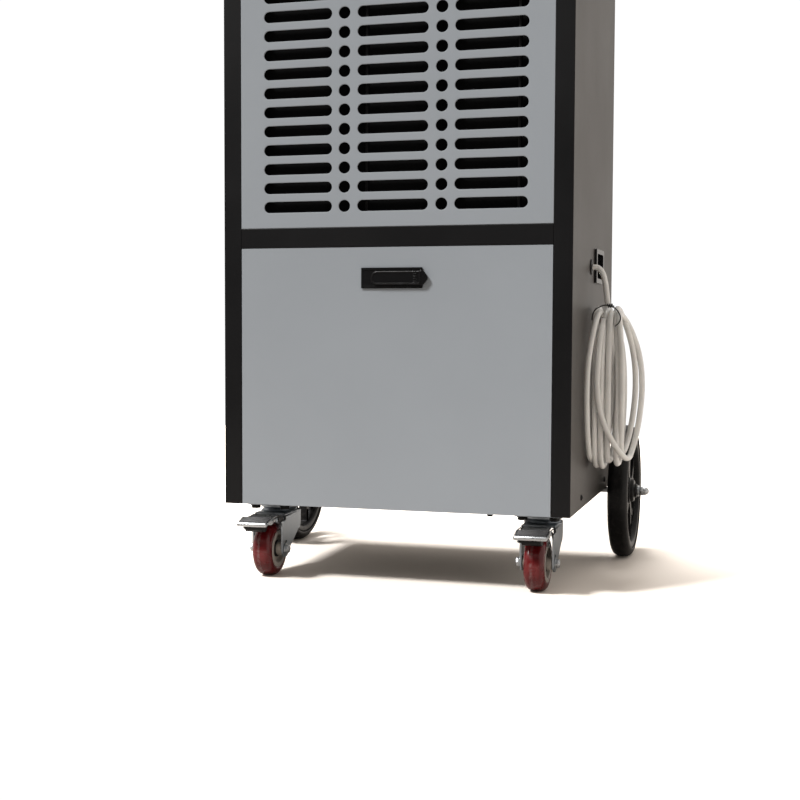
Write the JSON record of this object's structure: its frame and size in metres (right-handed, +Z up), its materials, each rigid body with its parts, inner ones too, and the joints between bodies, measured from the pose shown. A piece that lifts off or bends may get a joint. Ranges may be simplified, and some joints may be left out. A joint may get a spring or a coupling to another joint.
{
  "type": "commercial dehumidifier",
  "caption": "Upright wheeled dehumidifier cabinet with a slotted intake, latched service door, braked swivel casters, large rear wheels and a hanging drain hose.",
  "frame": {"origin": "on the floor under the middle of the footprint", "axes": "+Z up, front face towards -Y, +X to the right seen from the front"},
  "size_m": [0.616, 0.471, 1.0605],
  "materials": {
    "grey_paint": "satin powder coat",
    "black_paint": "fine satin powder coat",
    "bronze_paint": "satin metallic paint",
    "black_plastic": "moulded, fine texture",
    "zinc_plate": "bright zinc plate",
    "galvanised_sheet": "galvanised",
    "aluminium_fin": "plain fins",
    "motor_case": "die cast",
    "compressor_paint": "gloss black enamel",
    "copper": "drawn copper tube",
    "white_plastic": "plain",
    "red_tyre": "glossy polyurethane",
    "black_tyre": "smooth rubber",
    "taupe_plastic": "moulded",
    "hose_vinyl": "soft translucent vinyl",
    "filter_mesh": "fine black mesh",
    "screen": "glossy window"
  },
  "bodies": {
    "cabinet": {"base_pan": "black_paint", "post_front_left": "black_paint", "post_front_right": "black_paint", "side_panel_left": "bronze_paint", "side_panel_right": "bronze_paint", "rear_panel": "bronze_paint", "cross_beam": "black_paint", "intake_panel": "grey_paint", "intake_filter": "filter_mesh", "upper_beam": "black_paint", "top_cover": "black_paint", "push_handle": "black_paint", "handle_bracket_left": "black_plastic", "handle_bracket_right": "black_plastic", "control_fascia": "black_plastic", "display": "screen", "mid_shelf": "galvanised_sheet", "drip_tray": "black_plastic", "evaporator_coil": "aluminium_fin", "condenser_coil": "aluminium_fin", "fan_shroud": "black_paint", "fan_motor": "motor_case", "compressor": "compressor_paint", "condensate_pump": "white_plastic", "refrigerant_pipe": "copper", "control_box": "white_plastic", "drain_hose_inner": "hose_vinyl", "caster_plate_left": "black_paint", "caster_plate_right": "black_paint", "rear_axle": "zinc_plate", "mains_inlet": "black_plastic", "hose_grommet": "black_plastic", "hose_tube": "hose_vinyl", "hose_hank": "hose_vinyl", "hose_tie": "black_plastic"},
    "door": {"door_skin": "grey_paint", "door_liner": "galvanised_sheet", "latch_base": "black_plastic"},
    "latch_shaft": {"latch_rotor": "zinc_plate"},
    "latch_handle": {"latch_lever": "black_plastic"},
    "fan": {"fan_wheel": "black_plastic"},
    "tank_float": {"tray_float": "white_plastic"},
    "button_a": {"button_1": "white_plastic"},
    "button_b": {"button_2": "white_plastic"},
    "button_c": {"button_3": "white_plastic"},
    "caster_left": {"caster_fork_left": "zinc_plate", "caster_axle_left": "zinc_plate"},
    "caster_wheel_left": {"caster_core_left": "taupe_plastic", "caster_tyre_left": "red_tyre"},
    "brake_left": {"caster_pedal_left": "zinc_plate"},
    "rear_wheel_left": {"rear_rim_left": "black_plastic", "rear_tyre_left": "black_tyre"},
    "caster_right": {"caster_fork_right": "zinc_plate", "caster_axle_right": "zinc_plate"},
    "caster_wheel_right": {"caster_core_right": "taupe_plastic", "caster_tyre_right": "red_tyre"},
    "brake_right": {"caster_pedal_right": "zinc_plate"},
    "rear_wheel_right": {"rear_rim_right": "black_plastic", "rear_tyre_right": "black_tyre"}
  },
  "joints": [
    {"name": "door_swing", "type": "hinge", "parent": "cabinet", "child": "door", "pos_m": [0, -0.2145, 0.11], "axis": [1, 0, 0], "range_deg": [0, 90]},
    {"name": "latch_turn", "type": "hinge", "parent": "door", "child": "latch_shaft", "pos_m": [-0.019, -0.2095, 0.41375], "axis": [0, 1, 0], "range_deg": [0, 90]},
    {"name": "lever_lift", "type": "hinge", "parent": "latch_shaft", "child": "latch_handle", "pos_m": [-0.0275, -0.2242, 0.41375], "axis": [0, 0, -1], "range_deg": [0, 30]},
    {"name": "fan_spin", "type": "hinge", "parent": "cabinet", "child": "fan", "pos_m": [0, 0.0055, 0.92], "axis": [0, 0, 1], "continuous": true},
    {"name": "float_lift", "type": "slide", "parent": "cabinet", "child": "tank_float", "axis": [0, 0, 1], "range_m": [0, 0.012]},
    {"name": "button_a_press", "type": "slide", "parent": "cabinet", "child": "button_a", "axis": [0, 0.8444, -0.5357], "range_m": [0, 0.003], "stiffness_N_per_m": 300, "springref_m": -0.002},
    {"name": "button_b_press", "type": "slide", "parent": "cabinet", "child": "button_b", "axis": [0, 0.8444, -0.5357], "range_m": [0, 0.003], "stiffness_N_per_m": 300, "springref_m": -0.002},
    {"name": "button_c_press", "type": "slide", "parent": "cabinet", "child": "button_c", "axis": [0, 0.8444, -0.5357], "range_m": [0, 0.003], "stiffness_N_per_m": 300, "springref_m": -0.002},
    {"name": "swivel_left", "type": "hinge", "parent": "cabinet", "child": "caster_left", "pos_m": [-0.191, -0.1395, 0.09], "axis": [0, 0, 1], "continuous": true},
    {"name": "caster_roll_left", "type": "hinge", "parent": "caster_left", "child": "caster_wheel_left", "pos_m": [-0.191, -0.1765, 0.0375], "axis": [1, 0, 0], "continuous": true},
    {"name": "brake_press_left", "type": "hinge", "parent": "caster_left", "child": "brake_left", "pos_m": [-0.191, -0.1975, 0.081], "axis": [1, 0, 0], "range_deg": [0, 12]},
    {"name": "rear_roll_left", "type": "hinge", "parent": "cabinet", "child": "rear_wheel_left", "pos_m": [-0.267, 0.1355, 0.1], "axis": [1, 0, 0], "continuous": true},
    {"name": "swivel_right", "type": "hinge", "parent": "cabinet", "child": "caster_right", "pos_m": [0.191, -0.1395, 0.09], "axis": [0, 0, 1], "continuous": true},
    {"name": "caster_roll_right", "type": "hinge", "parent": "caster_right", "child": "caster_wheel_right", "pos_m": [0.191, -0.1765, 0.0375], "axis": [1, 0, 0], "continuous": true},
    {"name": "brake_press_right", "type": "hinge", "parent": "caster_right", "child": "brake_right", "pos_m": [0.191, -0.1975, 0.081], "axis": [1, 0, 0], "range_deg": [0, 12]},
    {"name": "rear_roll_right", "type": "hinge", "parent": "cabinet", "child": "rear_wheel_right", "pos_m": [0.267, 0.1355, 0.1], "axis": [1, 0, 0], "continuous": true}
  ]
}
